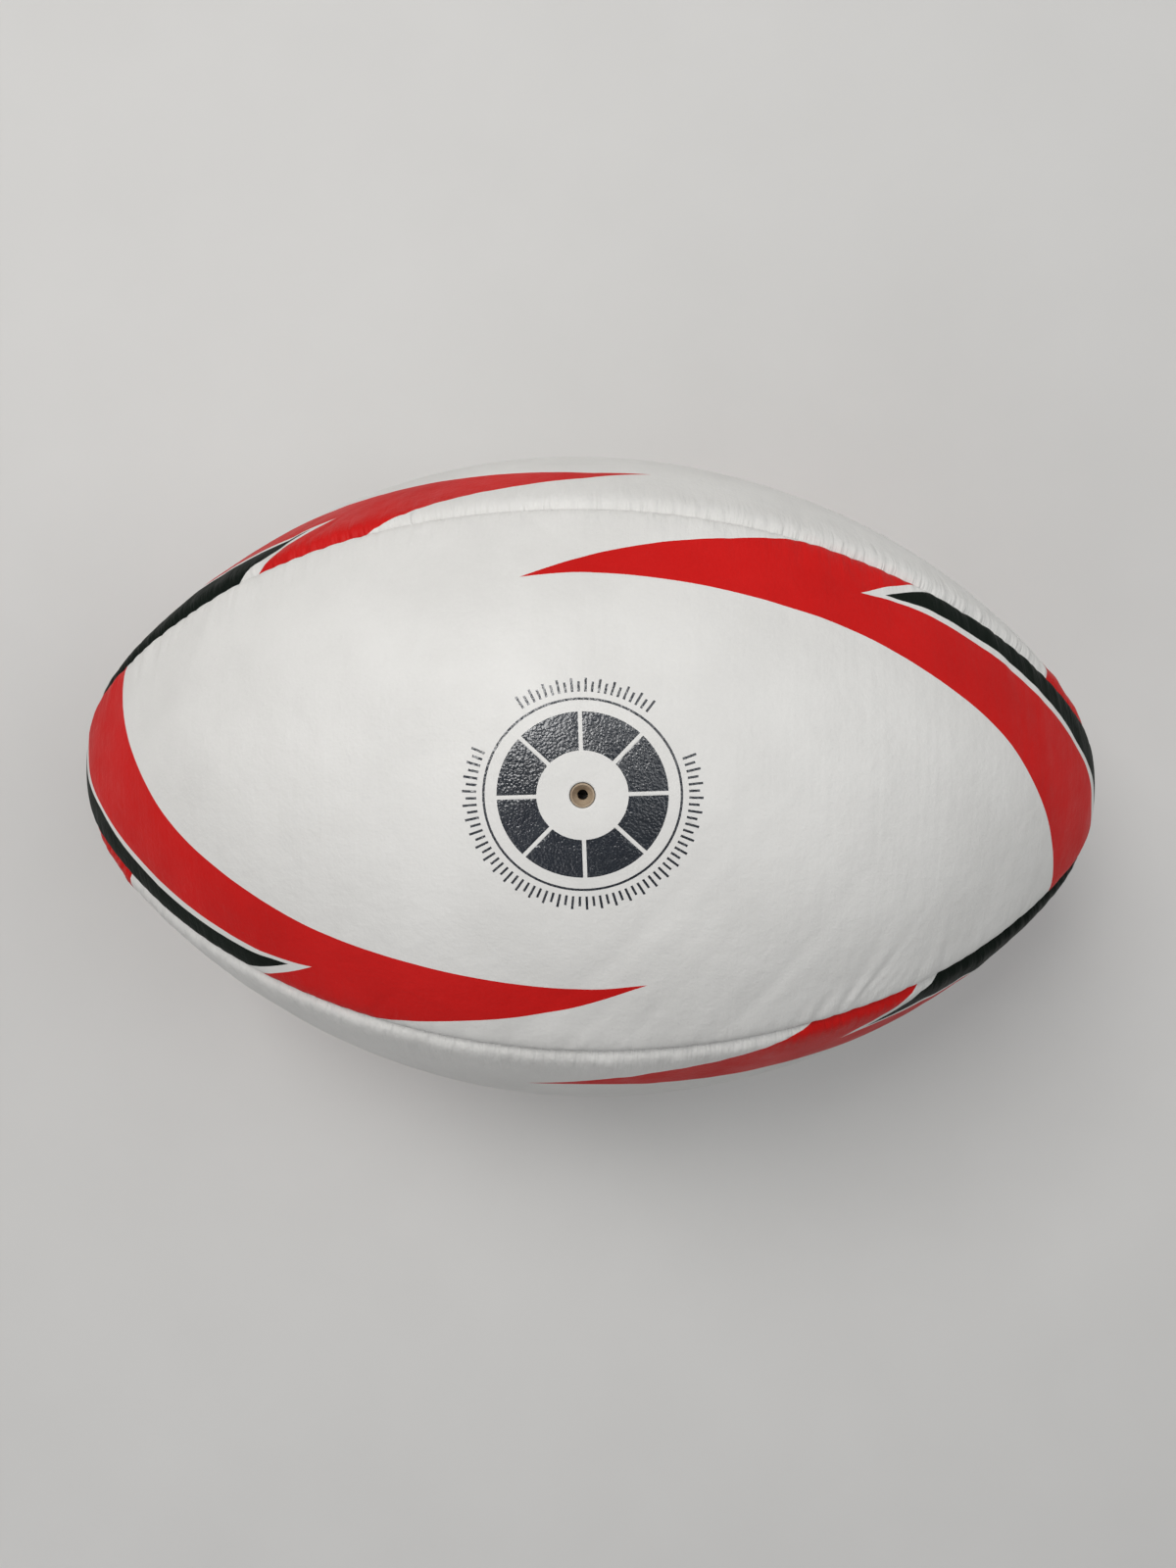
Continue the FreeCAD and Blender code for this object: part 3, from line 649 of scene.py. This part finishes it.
def print_regions(panel_name, valve):
    """A flat panel's regions, each a material index and an outline."""
    *place, narrowed = PRINT_FAULTS.get(panel_name, NO_FAULT)
    regions = [(WHITE, panel_outline())]
    for kind, outline in ((RED, sweep_outline(narrowed)), (BLACK, stripe_outline())):
        end = moved(outline, *place)
        regions += [(kind, end), (kind, half_turned(end))]
    if valve:
        outlines = ring_outlines() + hoop_outlines() + tick_outlines()
        regions += [(INK, lengthened(outline)) for outline in outlines]
        regions.append((HOLE, circle_line(VALVE_HOLE)))
    return regions


def cut_panel(panel_name, valve):
    """A flat panel cut along its print: points, triangles and each triangle's material index."""
    regions = print_regions(panel_name, valve)
    points, loops = [], []
    for _, outline in regions:
        loops.append(list(range(len(points), len(points) + len(outline))))
        points += anticlockwise(outline)
    print_points = [point for kind, outline in regions if kind not in (WHITE, HOLE) for point in outline]
    points += fill_points(print_points, valve)
    mesh = geometry.delaunay_2d_cdt(points, [], loops, EVERY_TRIANGLE, MERGE_DISTANCE)
    flat, _, faces, _, _, sources = mesh
    triangles, slots = [], []
    for face, source in zip(faces, sources):
        kinds = [regions[index][0] for index in source]
        if WHITE in kinds and HOLE not in kinds:
            triangles.append(face)
            slots.append(max(kinds))
    # Only the points that a triangle uses are kept.
    used = sorted({index for face in triangles for index in face})
    numbers = {index: number for number, index in enumerate(used)}
    triangles = [tuple(numbers[index] for index in face) for face in triangles]
    return np.array([tuple(flat[index]) for index in used]), triangles, slots


# --- the panel's relief ---------------------------------------------------------------------------


def rolled(distance):
    """How far the face drops where it turns down into a seam, past the swelling beside it."""
    puff = distance / PUFF_PLACE * np.exp(1 - distance / PUFF_PLACE)
    return ROLL_DEPTH * np.exp(-((distance / ROLL_WIDTH) ** ROLL_POWER)) - PUFF * puff


def groove(place, distance, start, middle, depth, reach, width, slant):
    """One groove that begins near a seam, runs away from it at a slant and fades as it spreads."""
    shape = np.zeros_like(place)
    length = GROOVE_END * reach
    near = (distance < length) & (np.abs(place - middle) < GROOVE_END * width + abs(slant) * length)
    away = distance[near]
    offset = (place[near] - middle - slant * away) / (width + GROOVE_SPREAD * away)
    begun = 1 - np.exp(-((away / start) ** 2))
    shape[near] = depth * begun * np.exp(-(offset**2) - away / reach)
    return shape


def pulled(place, distance, chance):
    """How far one seam's stitches pull the face down: a dimple and a crease each, and faint long wrinkles."""
    end = float(seam_places(PANEL_REACH + SEAM_SPARE))
    total = np.zeros_like(place)
    for index in range(int(2 * end / STITCH_PITCH)):
        middle = -end + (index + 0.5 + chance.uniform(*STITCH_STRAY)) * STITCH_PITCH
        dimple = [chance.uniform(*limits) for limits in DIMPLE_SIZES]
        crease = [chance.uniform(*limits) for limits in CREASE_SIZES]
        total += groove(place, distance, PULL_START, middle, *dimple, chance.uniform(*DIMPLE_SLANTS))
        total += groove(place, distance, PULL_START, middle, *crease, chance.uniform(*CREASE_SLANTS))
    for _ in range(WRINKLES):
        depth = chance.choice([-1, 1]) * chance.uniform(*WRINKLE_DEPTH_ROOTS) ** 2
        size = [chance.uniform(*limits) for limits in WRINKLE_SIZES]
        total += groove(place, distance, WRINKLE_START, chance.uniform(-end, end), depth, *size)
    return total


def valve_dip(u, v):
    """How far the face sinks towards the valve's hole and rounds into it."""
    away = np.hypot(u - VALVE.x, v - VALVE.y) - VALVE_HOLE
    rim = np.clip(1 - away / RIM_ROUND, 0, 1)
    return RIM_ROUND * (1 - np.sqrt(1 - rim**2)) + VALVE_SINK * np.exp(-((away / VALVE_SINK_REACH) ** 2))


def relief(u, v, valve, chance):
    """How far each flat point is sunk below the plain panel."""
    place = seam_places(u)
    fullness = np.clip(seam_reach(u) / FULL_SEAM, THIN_SEAM, 1)
    depth = np.zeros_like(u)
    upper, lower = (np.maximum(distance, 0) for distance in seam_distances(u, v))
    for distance, pull in ((upper, 1.0), (lower, LOWER_EDGE_PULL if valve else 1.0)):
        depth += (rolled(distance) + pulled(place, distance, chance) * pull) * fullness
    swell = SWELL_DEPTH * np.cos(u / SWELL_LENGTHS[0] + chance.uniform(*SWELL_PHASES))
    depth += swell * np.cos(v / SWELL_LENGTHS[1] + chance.uniform(*SWELL_PHASES)) * fullness
    if valve:
        for middle, start, *size in BOLD_WRINKLES:
            depth += groove(place, lower, start, middle, *size) * fullness
        depth += valve_dip(u, v)
    return depth


# --- the panels -----------------------------------------------------------------------------------


def folded(point, flat, drop):
    """A point of the panel's edge, carried down into the valve's hole or the seam."""
    x, y, z = point
    if (Vector(flat) - VALVE).length < RIM_ROWS[0]:
        return x, y, z - drop * HOLE_FOLD
    shrink = 1 - drop / max(math.hypot(y, z), 2 * drop)
    return x * (1 - FOLD_LEAN * drop / HALF_LENGTH), y * shrink, z * shrink


def add_fold(points, triangles, slots, flat):
    """Carry the panel's open edges down into the seams and into the valve's hole, one row at a time."""
    edges = {}
    for face, slot in zip(triangles, slots):
        for start, end in zip(face, face[1:] + face[:1]):
            edges[start, end] = slot
    rim = [(edge, slot) for edge, slot in edges.items() if (edge[1], edge[0]) not in edges]
    for drop in FOLD_DROPS:
        lower = {}
        for index in sorted({index for edge, _ in rim for index in edge}):
            lower[index] = len(points)
            points.append(folded(points[index], flat[index], drop))
            flat.append(flat[index])
        triangles += [(start, lower[start], lower[end], end) for (start, end), _ in rim]
        slots += [slot for _, slot in rim]
        rim = [((lower[start], lower[end]), slot) for (start, end), slot in rim]


def add_layers(mesh, flat, valve):
    """Give the mesh's points their flat places, their places by the seams and how hard they are pulled."""
    u, v = np.array(flat).T
    layers = {
        "pattern": np.stack([u, v, np.zeros_like(u)], axis=1),
        "seam": np.stack([seam_places(u), *seam_distances(u, v)], axis=1),
    }
    for name, values in layers.items():
        mesh.attributes.new(name, "FLOAT_VECTOR", "POINT").data.foreach_set("vector", values.ravel())
    pull = np.where(valve & (v < 0), LOWER_EDGE_PULL, 1.0)
    mesh.attributes.new("pull", "FLOAT", "POINT").data.foreach_set("value", pull)


def make_panel(panel_name, turns):
    """One panel's skin, laid on the ball."""
    name = panel_name + "_panel_cover"
    valve = turns == 0
    flat, faces, slots = cut_panel(panel_name, valve)
    depth = relief(flat[:, 0], flat[:, 1], valve, random.Random(SEED + turns))
    points = [tuple(point) for point in on_ball(flat[:, 0], flat[:, 1], depth)]
    flat = [tuple(point) for point in flat]
    add_fold(points, faces, slots, flat)

    mesh = bpy.data.meshes.new(name)
    mesh.from_pydata(points, [], faces)
    mesh.transform(Matrix.Scale(MM, 4) @ Matrix.Rotation(turns * QUARTER - COVER_TURN, 4, "X"))
    for material in SKIN_MATERIALS:
        mesh.materials.append(material)
    mesh.polygons.foreach_set("material_index", slots)
    mesh.polygons.foreach_set("use_smooth", [True] * len(faces))
    add_layers(mesh, flat, valve)
    panel = bpy.data.objects.new(name, mesh)
    bpy.context.scene.collection.objects.link(panel)
    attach(panel, "root")
    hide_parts(panel_name + "_panel_skin")


# --- the CAD's own pieces -------------------------------------------------------------------------


def dress_inner_pieces():
    """Give each piece that keeps its CAD shape its own material."""
    thread = thread_material()
    materials = {
        "_ply": cloth_material("woven_ply", (0.50, 0.48, 0.42, 1), (0.42, 0.40, 0.34, 1), 0.9),
        "_thread": thread,
        "_knot": thread,
        "bladder": rubber_material("latex", (0.30, 0.19, 0.10, 1), (0.22, 0.13, 0.07, 1), 0.55),
        "valve_patch": cloth_material("patch_cloth", (0.40, 0.38, 0.33, 1), (0.33, 0.31, 0.27, 1), 0.7),
        "valve_housing": rubber_material("valve_rubber", (0.42, 0.33, 0.23, 1), (0.29, 0.21, 0.14, 1), 0.6),
        "valve_core": rubber_material("core_rubber", (0.03, 0.028, 0.026, 1), (0.018, 0.017, 0.016, 1), 0.6),
    }
    for node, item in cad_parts.items():
        for ending, material in materials.items():
            if node.endswith(ending):
                for slot in item.material_slots:
                    slot.material = material


# --- floor, light and camera, in metres -----------------------------------------------------------


FLOOR_SIZE = 6.0
FLOOR_GAP = 0.0002

# The lights above the ball: place, size, watts and colour.
LIGHTS = {
    "key_light": ((-0.42, 0.52, 1.06), 0.6, 9.9, (1.0, 0.99, 0.98)),
    "fill_light": ((0.8, 0.3, 1.0), 1.0, 5.8, (0.97, 0.985, 1.0)),
    "low_light": ((-0.6, -0.65, 0.7), 0.8, 2.0, (0.98, 0.98, 1.0)),
}
SKY_COLOUR = (0.93, 0.96, 1.0, 1)
SKY_HEIGHTS = (-0.1, 0.9)  # the sky brightens from just below the horizon to nearly overhead
SKY_STRENGTHS = (0.11, 0.2)

CAMERA_HEIGHT = 0.3425
CAMERA_SIDE = (-0.0001, -0.00216)
BALL_TURN = (0.0509, -0.0130, -0.0275)  # how the ball lies before the camera, about X, Y and Z
LENS = 25.875
SENSOR = 36


def make_floor():
    """A plain pale floor under the ball."""
    bpy.ops.mesh.primitive_plane_add(size=FLOOR_SIZE, location=(0, 0, CAD_BOX[0][2] - FLOOR_GAP))
    floor = bpy.context.object
    floor.name = "floor"
    floor.data.materials.append(floor_material())


def add_area_light(name, place, size, watts, colour):
    """A soft square light aimed at the ball."""
    data = bpy.data.lights.new(name, "AREA")
    data.size = size
    data.energy = watts
    data.color = colour
    light = bpy.data.objects.new(name, data)
    light.location = place
    light.rotation_euler = (-Vector(place)).to_track_quat("-Z", "Y").to_euler()
    bpy.context.scene.collection.objects.link(light)


def make_sky():
    """A pale sky that darkens towards the horizon."""
    world = bpy.data.worlds.new("studio")
    world.use_nodes = True
    nodes = Nodes(world.node_tree)
    direction = nodes.add("ShaderNodeTexCoord").outputs["Generated"]
    height = nodes.add("ShaderNodeSeparateXYZ", {0: direction}).outputs["Z"]
    background = nodes.tree.nodes["Background"]
    nodes.feed(background.inputs["Color"], SKY_COLOUR)
    nodes.feed(background.inputs["Strength"], nodes.mapped(height, SKY_HEIGHTS, SKY_STRENGTHS))
    bpy.context.scene.world = world
    bpy.context.scene.view_settings.view_transform = "Standard"


def add_camera():
    """A camera looking straight down on the ball, which lies a little askew."""
    data = bpy.data.cameras.new("camera")
    data.lens = LENS
    data.sensor_width = SENSOR
    camera = bpy.data.objects.new("camera", data)
    turn_x, turn_y, turn_z = (Matrix.Rotation(angle, 4, axis) for angle, axis in zip(BALL_TURN, "XYZ"))
    lies = turn_z @ turn_y @ turn_x
    camera.matrix_world = lies.inverted() @ Matrix.Translation((*CAMERA_SIDE, CAMERA_HEIGHT))
    bpy.context.scene.collection.objects.link(camera)
    bpy.context.scene.camera = camera


add_camera()
for light_name, settings in LIGHTS.items():
    add_area_light(light_name, *settings)
make_sky()
make_floor()
for turns, panel_name in enumerate(PANELS):
    make_panel(panel_name, turns)
dress_inner_pieces()
